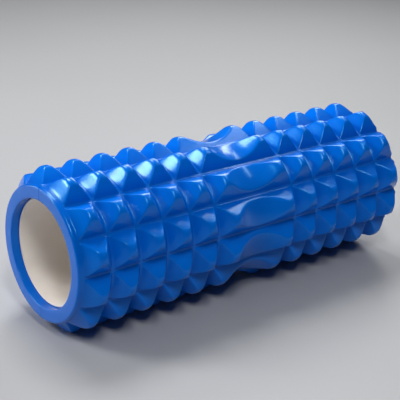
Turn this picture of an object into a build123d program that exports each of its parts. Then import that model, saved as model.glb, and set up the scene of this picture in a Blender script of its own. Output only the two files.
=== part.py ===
from build123d import *
import math
import os

# Foam roller: a stiff plastic tube inside a studded foam sleeve moulded in two half shells.
# The X axis is the roller's axis, the origin is the middle of the roller, and +Z is up.
# The half shells meet on the plane Y = 0, along a land at the top and one at the bottom.

# Foam sleeve, along its axis (mm). The near end, at -X, has a plain land outside the studs.
# The far end, at +X, is cut through the feet of the last studs.
NEAR_END_LAND = 3.7
STUD_PITCH = 24.3
STUDS_EACH_SIDE = 5
LONG_CELL = 79.6
FAR_END_CUT = 1.8
SCOOP_FLOOR_RADIUS = 55.0
RING_GROOVE_RADIUS = 52.2
RING_TIP_RADIUS = 63.1
LENGTH = NEAR_END_LAND + 2 * STUDS_EACH_SIDE * STUD_PITCH + LONG_CELL - FAR_END_CUT
LONG_CELL_MIDDLE = (NEAR_END_LAND + FAR_END_CUT) / 2

# Foam sleeve, around its axis (mm, degrees)
ROWS_PER_HALF = 6
ROW_ANGLE = 29.5
TIP_RADIUS = 63.0
TIP_ROUNDING = 5.6
LONG_GROOVE_RADIUS = 52.1
GROOVE_HALF_WIDTH = 0.8
NEAR_EDGE_ROUNDING = 2.0
FAR_EDGE_CHAMFER = 0.5
INNER_EDGE_CHAMFER = 0.8

# Tube and glue (mm)
FOAM_BORE_RADIUS = 41.6
TUBE_OUTER_RADIUS = 41.3
TUBE_INNER_RADIUS = 39.7
TUBE_RECESS = 6.3
TUBE_EDGE_CHAMFER = 0.4
GLUE_SET_BACK = 1.5
SEAM_GLUE_HALF_THICKNESS = 0.15
SEAM_GLUE_SET_BACK = 0.4

TIP_CENTRE_RADIUS = TIP_RADIUS - TIP_ROUNDING
RING_TIP_CENTRE_RADIUS = RING_TIP_RADIUS - TIP_ROUNDING
PROFILE_INNER_RADIUS = 35.0
INNER_PROFILE_X = LENGTH / 2 - (FOAM_BORE_RADIUS + INNER_EDGE_CHAMFER - PROFILE_INNER_RADIUS)
CUT_OVERRUN = 5.0


def flank_angle(foot_across, foot_height, tip_centre):
    """Angle between a stud's centre line and the normal of a flat flank that starts at its foot
    and runs tangent into the rounded tip."""
    down = foot_height - tip_centre
    reach = math.hypot(foot_across, down)
    return math.asin(TIP_ROUNDING / reach) - math.atan2(down, foot_across)


def polar(radius, degrees):
    """Point of the cross-section at an angle from +Y towards +Z."""
    turn = math.radians(degrees)
    return radius * math.cos(turn), radius * math.sin(turn)


def lobe_points(middle):
    """Foot, flank end, tip, flank end and foot of one row of studs, cut across the axis."""
    foot_angle = ROW_ANGLE / 2 - math.degrees(GROOVE_HALF_WIDTH / LONG_GROOVE_RADIUS)
    foot_across = LONG_GROOVE_RADIUS * math.sin(math.radians(foot_angle))
    foot_height = LONG_GROOVE_RADIUS * math.cos(math.radians(foot_angle))
    flank = flank_angle(foot_across, foot_height, TIP_CENTRE_RADIUS)
    across = TIP_ROUNDING * math.sin(flank)
    height = TIP_CENTRE_RADIUS + TIP_ROUNDING * math.cos(flank)
    flank_end = math.hypot(across, height)
    flank_end_angle = math.degrees(math.atan2(across, height))
    return [
        polar(LONG_GROOVE_RADIUS, middle - foot_angle),
        polar(flank_end, middle - flank_end_angle),
        polar(TIP_RADIUS, middle),
        polar(flank_end, middle + flank_end_angle),
        polar(LONG_GROOVE_RADIUS, middle + foot_angle),
    ]


def half_section():
    """Cross-section of the half shell on the +Y side, with six lobes."""
    face_y = SEAM_GLUE_HALF_THICKNESS
    corner_z = math.sqrt(LONG_GROOVE_RADIUS**2 - face_y**2)
    bore_z = math.sqrt(FOAM_BORE_RADIUS**2 - face_y**2)
    edges = []
    last = (face_y, -corner_z)
    last_angle = -math.degrees(math.atan2(corner_z, face_y))
    for row in range(ROWS_PER_HALF):
        middle = (row - (ROWS_PER_HALF - 1) / 2) * ROW_ANGLE
        foot, rise_end, tip, fall_start, far_foot = lobe_points(middle)
        foot_angle = math.degrees(math.atan2(foot[1], foot[0]))
        land = polar(LONG_GROOVE_RADIUS, (last_angle + foot_angle) / 2)
        edges.append(ThreePointArc(last, land, foot))
        edges.append(Line(foot, rise_end))
        edges.append(ThreePointArc(rise_end, tip, fall_start))
        edges.append(Line(fall_start, far_foot))
        last = far_foot
        last_angle = math.degrees(math.atan2(last[1], last[0]))
    end_angle = math.degrees(math.atan2(corner_z, face_y))
    land = polar(LONG_GROOVE_RADIUS, (last_angle + end_angle) / 2)
    edges.append(ThreePointArc(last, land, (face_y, corner_z)))
    edges.append(Line((face_y, corner_z), (face_y, bore_z)))
    edges.append(ThreePointArc((face_y, bore_z), (FOAM_BORE_RADIUS, 0), (face_y, -bore_z)))
    edges.append(Line((face_y, -bore_z), (face_y, -corner_z)))
    return Face(Wire(edges))


def stud_edges(middle, foot_across):
    """Flank, rounded tip and flank of one stud, cut along the axis."""
    flank = flank_angle(foot_across, RING_GROOVE_RADIUS, RING_TIP_CENTRE_RADIUS)
    across = TIP_ROUNDING * math.sin(flank)
    radius = RING_TIP_CENTRE_RADIUS + TIP_ROUNDING * math.cos(flank)
    rise_end = (middle - across, radius)
    fall_start = (middle + across, radius)
    return [
        Line((middle - foot_across, RING_GROOVE_RADIUS), rise_end),
        ThreePointArc(rise_end, (middle, RING_TIP_RADIUS), fall_start),
        Line(fall_start, (middle + foot_across, RING_GROOVE_RADIUS)),
    ]


def long_cell_edges(middle, foot_across):
    """The long cell: a half stud at each end, and a hollow scooped between the two tips."""
    flank = flank_angle(foot_across, RING_GROOVE_RADIUS, RING_TIP_CENTRE_RADIUS)
    tip_x = LONG_CELL / 2 - STUD_PITCH / 2
    rise = SCOOP_FLOOR_RADIUS - RING_TIP_CENTRE_RADIUS
    scoop = (tip_x**2 + rise**2 - TIP_ROUNDING**2) / (2 * (TIP_ROUNDING - rise))
    scoop_centre = SCOOP_FLOOR_RADIUS + scoop
    share = TIP_ROUNDING / (scoop + TIP_ROUNDING)
    join_x = tip_x * (1 - share)
    join_radius = RING_TIP_CENTRE_RADIUS + (scoop_centre - RING_TIP_CENTRE_RADIUS) * share
    flank_x = tip_x + TIP_ROUNDING * math.sin(flank)
    flank_radius = RING_TIP_CENTRE_RADIUS + TIP_ROUNDING * math.cos(flank)
    foot_x = LONG_CELL / 2 - GROOVE_HALF_WIDTH
    near_tip = (middle - tip_x, RING_TIP_RADIUS)
    near_join = (middle - join_x, join_radius)
    far_tip = (middle + tip_x, RING_TIP_RADIUS)
    far_join = (middle + join_x, join_radius)
    return [
        Line((middle - foot_x, RING_GROOVE_RADIUS), (middle - flank_x, flank_radius)),
        ThreePointArc((middle - flank_x, flank_radius), near_tip, near_join),
        ThreePointArc(near_join, (middle, SCOOP_FLOOR_RADIUS), far_join),
        ThreePointArc(far_join, far_tip, (middle + flank_x, flank_radius)),
        Line((middle + flank_x, flank_radius), (middle + foot_x, RING_GROOVE_RADIUS)),
    ]


def axial_edges():
    """Outer profile of the sleeve along its axis, from the near end's land to the last flank."""
    foot_across = STUD_PITCH / 2 - GROOVE_HALF_WIDTH
    edges = []
    last = (-LENGTH / 2 + NEAR_EDGE_ROUNDING, RING_GROOVE_RADIUS)
    for number in range(-STUDS_EACH_SIDE, STUDS_EACH_SIDE + 1):
        if number == 0:
            cell = long_cell_edges(LONG_CELL_MIDDLE, foot_across)
        else:
            from_middle = LONG_CELL / 2 + (abs(number) - 0.5) * STUD_PITCH
            cell = stud_edges(LONG_CELL_MIDDLE + math.copysign(from_middle, number), foot_across)
        edges.append(Line(last, cell[0] @ 0))
        edges.extend(cell)
        last = cell[-1] @ 1
    last_flank = edges.pop()
    start = last_flank @ 0
    foot = last_flank @ 1
    cut_x = LENGTH / 2 - FAR_EDGE_CHAMFER
    share = (cut_x - start.X) / (foot.X - start.X)
    edges.append(Line(start, last_flank @ share))
    return edges


def near_end_edges():
    """The near end's land: its rounded outer edge, end face and chamfered inner edge."""
    end_x = -LENGTH / 2
    edge_x = end_x + NEAR_EDGE_ROUNDING
    centre_radius = RING_GROOVE_RADIUS - NEAR_EDGE_ROUNDING
    bend = NEAR_EDGE_ROUNDING * math.sqrt(0.5)
    mouth = FOAM_BORE_RADIUS + INNER_EDGE_CHAMFER
    bend_point = (edge_x - bend, centre_radius + bend)
    return [
        ThreePointArc((edge_x, RING_GROOVE_RADIUS), bend_point, (end_x, centre_radius)),
        Line((end_x, centre_radius), (end_x, mouth)),
        Line((end_x, mouth), (-INNER_PROFILE_X, PROFILE_INNER_RADIUS)),
    ]


def far_end_edges(flank_end):
    """The far end's face, from the cut flank of the last studs in to its chamfered inner edge."""
    end_x = LENGTH / 2
    mouth = FOAM_BORE_RADIUS + INNER_EDGE_CHAMFER
    corner = (end_x, flank_end.Y - 2 * FAR_EDGE_CHAMFER)
    return [
        Line(flank_end, corner),
        Line(corner, (end_x, mouth)),
        Line((end_x, mouth), (INNER_PROFILE_X, PROFILE_INNER_RADIUS)),
    ]


def sleeve_envelope():
    """The whole sleeve's outside as a body turned about the axis."""
    edges = axial_edges()
    edges += far_end_edges(edges[-1] @ 1) + near_end_edges()
    edges.append(Line((INNER_PROFILE_X, PROFILE_INNER_RADIUS), (-INNER_PROFILE_X, PROFILE_INNER_RADIUS)))
    return revolve(Face(Wire(edges)), Axis.X, 360)


def foam_half(envelope):
    """Half shell on the +Y side: ridges along the axis cut by the grooves that run around."""
    start = Plane.YZ * Pos(0, 0, -LENGTH / 2 - CUT_OVERRUN)
    ridges = extrude(start * half_section(), LENGTH + 2 * CUT_OVERRUN, dir=(1, 0, 0))
    return ridges & envelope


def ring(outer_radius, inner_radius, length):
    """Plain pipe along the axis, centred on the origin."""
    return Rot(0, 90, 0) * (Cylinder(outer_radius, length) - Cylinder(inner_radius, length))


def core_tube():
    tube = ring(TUBE_OUTER_RADIUS, TUBE_INNER_RADIUS, LENGTH - 2 * TUBE_RECESS)
    rims = [edge for edge in tube.edges() if edge.geom_type == GeomType.CIRCLE]
    return chamfer(rims, TUBE_EDGE_CHAMFER)


def tube_glue():
    return ring(FOAM_BORE_RADIUS, TUBE_OUTER_RADIUS, LENGTH - 2 * (TUBE_RECESS + GLUE_SET_BACK))


def seam_glue(side):
    """Glue line between the two half shells, at the top or the bottom of the roller."""
    length = LENGTH - 2 * GLUE_SET_BACK
    outside = LONG_GROOVE_RADIUS - SEAM_GLUE_SET_BACK
    strip = Pos(0, 0, side * outside / 2) * Box(length, 2 * SEAM_GLUE_HALF_THICKNESS, outside)
    return strip - Rot(0, 90, 0) * Cylinder(FOAM_BORE_RADIUS, LENGTH)


def write(name, shape):
    solid = shape.solid()
    solid.label = name
    export_step(solid, f"parts/{name}.step")


os.makedirs("parts", exist_ok=True)
back_half = foam_half(sleeve_envelope())
write("foam_half_back", back_half)
write("foam_half_front", mirror(back_half, Plane.XZ))
write("core_tube", core_tube())
write("tube_glue", tube_glue())
write("seam_glue_top", seam_glue(1))
write("seam_glue_bottom", seam_glue(-1))
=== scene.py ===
import math

import bpy
import numpy as np
from mathutils import Matrix, Vector


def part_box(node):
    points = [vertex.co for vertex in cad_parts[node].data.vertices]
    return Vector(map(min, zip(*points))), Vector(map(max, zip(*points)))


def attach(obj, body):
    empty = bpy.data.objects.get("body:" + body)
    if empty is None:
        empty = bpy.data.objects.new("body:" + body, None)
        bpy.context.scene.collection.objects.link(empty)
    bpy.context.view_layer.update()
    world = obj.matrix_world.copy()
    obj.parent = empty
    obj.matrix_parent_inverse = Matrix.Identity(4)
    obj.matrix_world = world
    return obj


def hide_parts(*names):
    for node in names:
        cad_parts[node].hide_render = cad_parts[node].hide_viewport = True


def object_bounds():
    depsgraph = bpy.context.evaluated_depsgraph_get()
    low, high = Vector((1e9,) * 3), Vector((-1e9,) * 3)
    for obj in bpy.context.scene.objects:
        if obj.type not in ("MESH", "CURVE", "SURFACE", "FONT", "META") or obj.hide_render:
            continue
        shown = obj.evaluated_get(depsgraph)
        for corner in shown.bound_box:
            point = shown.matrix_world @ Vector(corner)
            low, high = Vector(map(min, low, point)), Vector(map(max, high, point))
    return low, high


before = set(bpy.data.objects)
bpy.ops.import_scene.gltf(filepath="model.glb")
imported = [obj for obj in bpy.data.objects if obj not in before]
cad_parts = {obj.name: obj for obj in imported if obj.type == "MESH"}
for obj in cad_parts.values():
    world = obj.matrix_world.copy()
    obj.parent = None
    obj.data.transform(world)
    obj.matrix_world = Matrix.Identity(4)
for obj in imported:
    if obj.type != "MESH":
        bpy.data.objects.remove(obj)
cad_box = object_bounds()

MM = 0.001

# Foam sleeve, the same sizes as the CAD model (mm, degrees)
NEAR_END_LAND = 3.7
STUD_PITCH = 24.3
STUDS_EACH_SIDE = 5
LONG_CELL = 79.6
FAR_END_CUT = 1.8
ROWS_PER_HALF = 6
ROW_ANGLE = 29.5
TIP_RADIUS = 63.0
GROOVE_RADIUS = 52.2
GROOVE_HALF_WIDTH = 0.9
SCOOP_FLOOR = 2.8
FOAM_BORE_RADIUS = 41.6
SEAM_HALF_GAP = 0.15

# Studs: flat faces that would meet in a point, and the rounded cap that replaces the point (mm)
PEAK_HEIGHT_ALONG = 14.2
PEAK_HEIGHT_AROUND = 14.6
CAP_ROUNDING = 8.2
# The higher this power, the less the cap rounds off the studs' four corners
CORNER_KEEP = 3

# Softness of the visible foam's edges (mm)
FOOT_BLEND = 1.0
HIP_BLEND = 1.1
CAP_BLEND = 1.2
NEAR_EDGE_ROUNDING = 2.0
FAR_EDGE_ROUNDING = 0.5
INNER_EDGE_ROUNDING = 0.8
SEAM_EDGE_ROUNDING = 0.3

# Where the foam's mesh lines lie: distances from a groove line and from a tip line (mm), shares of
# the way up a row's flank and over its top, and the least room left for each
GROOVE_STEPS = np.array([0.0, 0.3, 0.6, 0.9, 1.25, 1.75])
FACE_STEPS = np.array([10.8, 9.3, 7.7, 6.1, 5.0, 4.4, 3.9, 3.4, 2.9, 2.3, 1.5, 0.7])
FLANK_SHARES = np.array([0.0, 0.3, 0.55, 0.76, 0.89, 0.96, 1.0])
TOP_SHARES = np.array([0.0, 0.06, 0.16, 0.38, 0.68, 1.0])
LEAST_TOP = 0.5
LEAST_FLANK = 0.8
SCOOP_STATIONS = 28
HIP_ROUNDS = 8

# Mesh lines of the end faces and the seams: depths in the hole (mm), shares of the end face, turns
# round its edges (degrees), and steps and drops at a seam's edge (shares of its rounding)
HOLE_DEPTHS = (15.0, 6.0)
END_FACE_SHARES = (0.3, 0.6, 0.85)
INNER_EDGE_TURNS = (0, 30, 60, 90)
OUTER_EDGE_TURNS = (0, 18, 36, 54, 72, 90)
SEAM_STEPS = np.array([2, 1, 1 / 3, 0])
SEAM_DROPS = np.array([0, 0, 0.13, 0.5, 1])

# Colours (linear RGB)
FOAM_BLUES = ((0.0, 0.155, 0.74), (0.0, 0.17, 0.78))
# Painted shade: a darker blue that the foam is blended towards in its grooves, standing in for the
# shade there
GROOVE_PAINTED_SHADE = (0.0, 0.075, 0.46)
FOAM_HIGHLIGHT = (0.08, 0.74, 1.0, 1.0)
TUBE_CREAMS = ((0.88, 0.81, 0.73), (0.93, 0.87, 0.79))
GLUE_BLUES = ((0.004, 0.015, 0.07), (0.01, 0.035, 0.14))
FLOOR_GREYS = ((0.41, 0.415, 0.425), (0.44, 0.445, 0.455))
WORLD_COLOUR = (0.55, 0.6, 0.7, 1.0)
WORLD_STRENGTH = 0.05

# Studio (metres, degrees, and the lens and its sensor in mm)
FLOOR_HALF_SIZE = 4.0
CAMERA_PLACE = (-0.50785, -0.5955, 0.3170)
CAMERA_TARGET = (-0.01385, 0.0, 0.0098)
CAMERA_TILT = 2.29
CAMERA_LENS = 93.1
CAMERA_SENSOR = 36.0

# Worked out from the sizes above (mm, and slopes)
STUD_HEIGHT = TIP_RADIUS - GROOVE_RADIUS
SCOOP_DEPTH = STUD_HEIGHT - SCOOP_FLOOR
STUD_FOOT = STUD_PITCH / 2 - GROOVE_HALF_WIDTH
STUD_SLOPE = PEAK_HEIGHT_ALONG / STUD_FOOT
ROW_HALF_WIDTH = math.radians(ROW_ANGLE) / 2 * GROOVE_RADIUS
ROW_FOOT = ROW_HALF_WIDTH - GROOVE_HALF_WIDTH
ROW_SLOPE = PEAK_HEIGHT_AROUND / ROW_FOOT
LONG_TIP = (LONG_CELL - STUD_PITCH) / 2
TIP_TO_SCOOP = 2 * CAP_ROUNDING * SCOOP_DEPTH / LONG_TIP
SCOOP_ROUNDING = (LONG_TIP - TIP_TO_SCOOP) * CAP_ROUNDING / TIP_TO_SCOOP
LONG_CELL_MIDDLE = (NEAR_END_LAND + FAR_END_CUT) / 2
STUDDED_END = LONG_CELL / 2 + STUDS_EACH_SIDE * STUD_PITCH - FAR_END_CUT

# A face height above every cap, for places where a stud has no face of its own (mm)
NO_FACE = 50.0


# ---------------------------------------------------------------- foam shape


def smooth_min(a, b, blend):
    """The lower of two surfaces, with the edge between them rounded."""
    share = np.clip(0.5 + 0.5 * (b - a) / blend, 0, 1)
    return b * (1 - share) + a * share - blend * share * (1 - share)


def stud_levels(x):
    """Across a stud: height of its face, drop of its cap, and how much the cap curves around."""
    face = (STUD_FOOT - np.abs(x)) * STUD_SLOPE
    return face, x**2 / (2 * CAP_ROUNDING), np.ones_like(x)


def cap_height(drop, curve, around):
    """Height of the cap, rounded along and around together so that it keeps off the corners."""
    drop_around = curve * around**2 / (2 * CAP_ROUNDING)
    return STUD_HEIGHT - (drop**CORNER_KEEP + drop_around**CORNER_KEEP) ** (1 / CORNER_KEEP)


def long_cell_levels(x):
    """The same three values across the long cell, where a scoop joins the two tips."""
    past_tip = np.abs(x) - LONG_TIP
    face, drop, curve = stud_levels(past_tip)
    scoop_drop = SCOOP_DEPTH - x**2 / (2 * SCOOP_ROUNDING)
    drop = np.where(past_tip < -TIP_TO_SCOOP, scoop_drop, drop)
    face = np.where(past_tip < 0, NO_FACE, face)
    curve = np.where(past_tip < 0, 1 - drop / SCOOP_DEPTH, curve)
    return face, drop, curve


def stud_stations():
    """Places along one stud, from its first groove line up to just before the next cell's."""
    rising = -np.concatenate([STUD_PITCH / 2 - GROOVE_STEPS[:-1], FACE_STEPS])
    return np.concatenate([rising, [0.0], -rising[::-1][:-1]])


def long_cell_stations():
    """Places along the long cell: half a stud, the scoop, and half a stud."""
    half_stud = stud_stations()
    rising = half_stud[: len(half_stud) // 2 + 1] - LONG_TIP
    scoop = np.linspace(-LONG_TIP, LONG_TIP, SCOOP_STATIONS + 1)[1:-1]
    return np.concatenate([rising, scoop, -rising[::-1][:-1]])


def studded_stations():
    """Place along the axis and the three stud levels, all along the studs from the near land
    to the far end's cut. Places are measured from the middle of the long cell."""
    rows = []
    for number in range(-STUDS_EACH_SIDE, STUDS_EACH_SIDE + 1):
        if number == 0:
            local = long_cell_stations()
            rows.append((local, *long_cell_levels(local)))
        else:
            local = stud_stations()
            middle = math.copysign(LONG_CELL / 2 + (abs(number) - 0.5) * STUD_PITCH, number)
            rows.append((local + middle, *stud_levels(local)))
    places, faces, drops, curves = (np.concatenate(values) for values in zip(*rows))
    kept = places < STUDDED_END - FAR_EDGE_ROUNDING
    return places[kept], faces[kept], drops[kept], curves[kept]


def half_row_lines(face, drop, curve):
    """Distances round the sleeve from a row's tip line to its mesh lines, from the groove in.
    One line follows the hip, where a row's flank meets a stud's face or cap."""
    hip = ROW_FOOT
    for _ in range(HIP_ROUNDS):
        hip = ROW_FOOT - min(face, cap_height(drop, curve, hip)) / ROW_SLOPE
        hip = float(np.clip(hip, LEAST_TOP, ROW_HALF_WIDTH - GROOVE_STEPS[-1] - LEAST_FLANK))
    groove = ROW_HALF_WIDTH - GROOVE_STEPS
    flank = groove[-1] + (hip - groove[-1]) * FLANK_SHARES
    top = hip * (1 - TOP_SHARES[1:])
    return np.concatenate([groove[:-1], flank, top])


def row_ring(face, drop, curve):
    """Angles and radii across one whole row at a station, groove line to groove line."""
    half = half_row_lines(face, drop, curve)
    around = np.concatenate([-half, half[::-1][1:]])
    flank = (ROW_FOOT - np.abs(around)) * ROW_SLOPE
    height = smooth_min(np.full_like(around, face), flank, HIP_BLEND)
    height = smooth_min(height, cap_height(drop, curve, around), CAP_BLEND)
    height = -smooth_min(-height, np.zeros_like(around), FOOT_BLEND)
    return around / GROOVE_RADIUS, GROOVE_RADIUS + height


def half_ring(face, drop, curve):
    """Angles from the middle of a half shell, and radii, from one seam to the other."""
    row_angle, row_radius = row_ring(face, drop, curve)
    middles = (np.arange(ROWS_PER_HALF) - (ROWS_PER_HALF - 1) / 2) * math.radians(ROW_ANGLE)
    angles = (middles[:, None] + row_angle[None, :-1]).ravel()
    radii = np.tile(row_radius[:-1], ROWS_PER_HALF)
    seam = math.pi / 2 - math.asin(SEAM_HALF_GAP / GROOVE_RADIUS)
    last_groove = ROWS_PER_HALF * math.radians(ROW_ANGLE) / 2
    to_seam = np.append(last_groove, seam - SEAM_STEPS * SEAM_EDGE_ROUNDING / GROOVE_RADIUS)
    seam_radii = GROOVE_RADIUS - SEAM_DROPS * SEAM_EDGE_ROUNDING
    angles = np.concatenate([-to_seam[::-1][:-1], angles, to_seam])
    radii = np.concatenate([seam_radii[::-1][:-1], radii, seam_radii])
    return angles, radii


def end_rings(end_x, angles, outer_radii, rounding):
    """Rings (x, angles, radii) from inside the hole, round the end face, out to the outer edge."""
    outward = math.copysign(1, end_x)
    hole = np.full_like(angles, FOAM_BORE_RADIUS)
    rings = [(end_x - outward * depth, angles, hole) for depth in HOLE_DEPTHS]
    for turn in np.radians(INNER_EDGE_TURNS):
        x = end_x - outward * INNER_EDGE_ROUNDING * (1 - math.sin(turn))
        radius = FOAM_BORE_RADIUS + INNER_EDGE_ROUNDING * (1 - math.cos(turn))
        rings.append((x, angles, np.full_like(angles, radius)))
    mouth = FOAM_BORE_RADIUS + INNER_EDGE_ROUNDING
    for share in END_FACE_SHARES:
        rings.append((end_x, angles, mouth + share * (outer_radii - rounding - mouth)))
    for turn in np.radians(OUTER_EDGE_TURNS):
        x = end_x - outward * rounding * (1 - math.cos(turn))
        rings.append((x, angles, outer_radii - rounding * (1 - math.sin(turn))))
    return rings


def foam_half_mesh(name, side, half_length):
    """One half shell as a closed mesh. side is -1 for the front half and 1 for the back half."""
    stations = [
        (place + LONG_CELL_MIDDLE, *half_ring(face, drop, curve))
        for place, face, drop, curve in zip(*studded_stations())
    ]
    _, near_angles, _ = stations[0]
    _, far_angles, far_radii = stations[-1]
    land = np.full_like(near_angles, GROOVE_RADIUS)
    rings = end_rings(-half_length, near_angles, land, NEAR_EDGE_ROUNDING)
    rings += stations
    rings += reversed(end_rings(half_length, far_angles, far_radii, FAR_EDGE_ROUNDING))
    points = []
    for x, angles, radii in rings:
        y = side * np.maximum(radii * np.cos(angles), SEAM_HALF_GAP)
        points.append(np.stack([np.full_like(angles, x), y, radii * np.sin(angles)], axis=-1))
    points = np.array(points)
    ring_count, across = points.shape[:2]
    index = np.arange(ring_count * across).reshape(ring_count, across)
    next_ring = np.roll(index, -1, axis=0)
    corners = [index[:, :-1], next_ring[:, :-1], next_ring[:, 1:], index[:, 1:]]
    faces = np.stack(corners, axis=-1).reshape(-1, 4).tolist()
    seam_faces = [index[:, 0].tolist(), index[::-1, -1].tolist()]
    faces += seam_faces
    if side < 0:
        faces = [face[::-1] for face in faces]
    mesh = bpy.data.meshes.new(name)
    mesh.from_pydata((points.reshape(-1, 3) * MM).tolist(), [], faces)
    mesh.validate()
    smooth = np.ones(len(mesh.polygons), dtype=bool)
    smooth[-len(seam_faces) :] = False
    mesh.polygons.foreach_set("use_smooth", smooth)
    mesh.update()
    piece = bpy.data.objects.new(name, mesh)
    bpy.context.scene.collection.objects.link(piece)
    return piece


# ---------------------------------------------------------------- materials


class Nodes:
    """A material's node tree, with short calls to add and join nodes."""

    def __init__(self, name):
        self.material = bpy.data.materials.new(name)
        self.material.use_nodes = True
        self.tree = self.material.node_tree
        self.shader = self.tree.nodes["Principled BSDF"]

    def add(self, kind, **settings):
        node = self.tree.nodes.new(kind)
        for key, value in settings.items():
            if key in node.inputs:
                node.inputs[key].default_value = value
            else:
                setattr(node, key, value)
        return node

    def join(self, source, target):
        self.tree.links.new(source, target)

    def place(self):
        return self.add("ShaderNodeTexCoord").outputs["Object"]

    def noise(self, place, scale, detail=3.0, roughness=0.5):
        node = self.add("ShaderNodeTexNoise", Scale=scale, Detail=detail, Roughness=roughness)
        self.join(place, node.inputs["Vector"])
        return node.outputs["Fac"]

    def span(self, value, low, high, to_low, to_high):
        node = self.add("ShaderNodeMapRange")
        node.inputs["From Min"].default_value = low
        node.inputs["From Max"].default_value = high
        node.inputs["To Min"].default_value = to_low
        node.inputs["To Max"].default_value = to_high
        self.join(value, node.inputs["Value"])
        return node.outputs["Result"]

    def blend(self, factor, first, second):
        node = self.add("ShaderNodeMix", data_type="RGBA")
        for socket, value in ((node.inputs[6], first), (node.inputs[7], second)):
            if isinstance(value, tuple):
                socket.default_value = (*value, 1.0)
            else:
                self.join(value, socket)
        self.join(factor, node.inputs[0])
        return node.outputs[2]

    def bump(self, height, distance, strength=1.0, below=None):
        node = self.add("ShaderNodeBump", Strength=strength, Distance=distance)
        self.join(height, node.inputs["Height"])
        if below is not None:
            self.join(below, node.inputs["Normal"])
        return node.outputs["Normal"]


def radial_height(nodes, place):
    """Distance from the roller's axis, from 0 at a groove's floor to 1 at a stud's tip."""
    parts = nodes.add("ShaderNodeSeparateXYZ")
    nodes.join(place, parts.inputs["Vector"])
    flat = nodes.add("ShaderNodeCombineXYZ")
    nodes.join(parts.outputs["Y"], flat.inputs["Y"])
    nodes.join(parts.outputs["Z"], flat.inputs["Z"])
    length = nodes.add("ShaderNodeVectorMath", operation="LENGTH")
    nodes.join(flat.outputs["Vector"], length.inputs[0])
    return nodes.span(length.outputs["Value"], GROOVE_RADIUS * MM, TIP_RADIUS * MM, 0.0, 1.0)


def foam_material():
    nodes = Nodes("eva_foam")
    place = nodes.place()
    height = radial_height(nodes, place)
    clouds = nodes.span(nodes.noise(place, 38.0, 2.0), 0.35, 0.65, 0.0, 1.0)
    base = nodes.blend(clouds, *FOAM_BLUES)
    # Painted shade: the base blue darkens towards the groove floors by radial height, in place of the
    # shade that falls there
    depth = nodes.span(height, 0.05, 0.5, 0.4, 0.0)
    nodes.join(nodes.blend(depth, base, GROOVE_PAINTED_SHADE), nodes.shader.inputs["Base Color"])
    skin = nodes.noise(place, 1500.0, 3.0, 0.6)
    swell = nodes.noise(place, 220.0, 2.0)
    nodes.join(nodes.span(skin, 0.3, 0.7, 0.17, 0.24), nodes.shader.inputs["Roughness"])
    waves = nodes.bump(swell, 0.00022, 0.35)
    pores = nodes.bump(skin, 0.00006, 0.5, waves)
    nodes.join(pores, nodes.shader.inputs["Normal"])
    nodes.shader.inputs["IOR"].default_value = 1.45
    nodes.shader.inputs["Specular IOR Level"].default_value = 0.5
    nodes.shader.inputs["Specular Tint"].default_value = FOAM_HIGHLIGHT
    nodes.shader.inputs["Coat Weight"].default_value = 0.22
    nodes.shader.inputs["Coat Roughness"].default_value = 0.12
    nodes.shader.inputs["Coat IOR"].default_value = 1.5
    return nodes.material


def tube_material():
    nodes = Nodes("tube_plastic")
    place = nodes.place()
    stretch = nodes.add("ShaderNodeMapping")
    stretch.inputs["Scale"].default_value = (0.03, 1.0, 1.0)
    nodes.join(place, stretch.inputs["Vector"])
    drawn = nodes.noise(stretch.outputs["Vector"], 420.0, 3.0)
    clouds = nodes.span(nodes.noise(place, 30.0, 3.0), 0.3, 0.7, 0.0, 1.0)
    nodes.join(nodes.blend(clouds, *TUBE_CREAMS), nodes.shader.inputs["Base Color"])
    nodes.join(nodes.span(drawn, 0.3, 0.7, 0.34, 0.46), nodes.shader.inputs["Roughness"])
    fine = nodes.bump(nodes.noise(place, 2600.0, 2.0), 0.00003, 0.5, nodes.bump(drawn, 0.00012, 0.5))
    nodes.join(fine, nodes.shader.inputs["Normal"])
    nodes.shader.inputs["Subsurface Weight"].default_value = 0.06
    nodes.shader.inputs["Subsurface Radius"].default_value = (0.004, 0.003, 0.002)
    return nodes.material


def glue_material():
    nodes = Nodes("contact_glue")
    place = nodes.place()
    lumps = nodes.noise(place, 500.0, 3.0)
    nodes.join(nodes.blend(lumps, *GLUE_BLUES), nodes.shader.inputs["Base Color"])
    nodes.join(nodes.span(lumps, 0.3, 0.7, 0.35, 0.55), nodes.shader.inputs["Roughness"])
    nodes.join(nodes.bump(lumps, 0.0001, 0.6), nodes.shader.inputs["Normal"])
    return nodes.material


def floor_material():
    nodes = Nodes("studio_floor")
    place = nodes.place()
    clouds = nodes.noise(place, 3.0, 2.0)
    nodes.join(nodes.blend(clouds, *FLOOR_GREYS), nodes.shader.inputs["Base Color"])
    nodes.shader.inputs["Roughness"].default_value = 0.55
    return nodes.material


def dress(piece, material):
    piece.data.materials.clear()
    piece.data.materials.append(material)


# ---------------------------------------------------------------- studio


def aim(thing, target):
    thing.rotation_euler = (Vector(target) - thing.location).to_track_quat("-Z", "Y").to_euler()


def soft_light(name, place, target, width, height, power):
    """A plain white rectangular light, placed and sized in metres, with its power in watts."""
    lamp = bpy.data.lights.new(name, "AREA")
    lamp.shape = "RECTANGLE"
    lamp.size = width
    lamp.size_y = height
    lamp.energy = power
    light = bpy.data.objects.new(name, lamp)
    bpy.context.scene.collection.objects.link(light)
    light.location = place
    aim(light, target)


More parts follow.
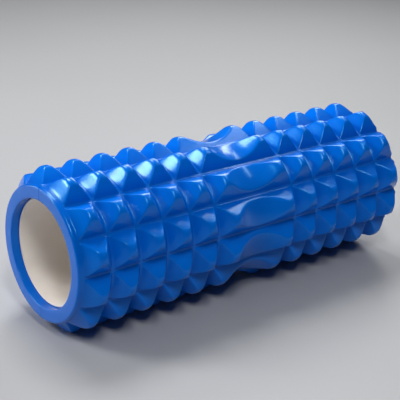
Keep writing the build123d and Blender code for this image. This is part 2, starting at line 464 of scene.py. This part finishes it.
def make_camera():
    lens = bpy.data.cameras.new("camera")
    lens.lens = CAMERA_LENS
    lens.sensor_width = CAMERA_SENSOR
    camera = bpy.data.objects.new("camera", lens)
    bpy.context.scene.collection.objects.link(camera)
    camera.location = CAMERA_PLACE
    turn = (Vector(CAMERA_TARGET) - camera.location).to_track_quat("-Z", "Y").to_matrix()
    camera.rotation_euler = (turn @ Matrix.Rotation(math.radians(CAMERA_TILT), 3, "Z")).to_euler()
    bpy.context.scene.camera = camera


def make_floor(level):
    size = FLOOR_HALF_SIZE
    mesh = bpy.data.meshes.new("floor")
    corners = [(-size, -size, level), (size, -size, level), (size, size, level), (-size, size, level)]
    mesh.from_pydata(corners, [], [(0, 1, 2, 3)])
    floor = bpy.data.objects.new("floor", mesh)
    bpy.context.scene.collection.objects.link(floor)
    dress(floor, floor_material())


def make_world():
    world = bpy.data.worlds.new("studio")
    bpy.context.scene.world = world
    world.use_nodes = True
    background = world.node_tree.nodes["Background"]
    background.inputs["Color"].default_value = WORLD_COLOUR
    background.inputs["Strength"].default_value = WORLD_STRENGTH


# ---------------------------------------------------------------- build

half_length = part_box("foam_half_front")[1].x / MM
foam = foam_material()
for name, side in (("foam_half_front", -1), ("foam_half_back", 1)):
    piece = foam_half_mesh(name.replace("foam_half", "foam_skin"), side, half_length)
    dress(piece, foam)
    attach(piece, "root")
    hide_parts(name)

dress(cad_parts["core_tube"], tube_material())
glue = glue_material()
for name in ("tube_glue", "seam_glue_top", "seam_glue_bottom"):
    dress(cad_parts[name], glue)

make_floor(cad_box[0].z)
make_world()
soft_light("key_back_left", (-0.95, 0.66, 0.88), (0, 0, 0), 0.34, 0.26, 8.0)
soft_light("low_left", (-1.0, 1.0, 0.2), (0, 0, 0), 0.7, 0.35, 5.0)
soft_light("front_top", (-0.46, -0.68, 1.06), (-0.05, 0, 0), 0.14, 0.50, 7.0)
soft_light("top_back", (0.1, 0.6, 1.2), (0, 0, 0), 0.5, 0.4, 10.0)
soft_light("right_strip", (0.85, 0.0, 1.05), (0, 0, 0), 1.1, 0.12, 3.0)
soft_light("back_right", (0.9, 0.85, 0.8), (0, 0, 0), 0.6, 0.4, 5.0)
make_camera()
bpy.context.scene.view_settings.view_transform = "Standard"
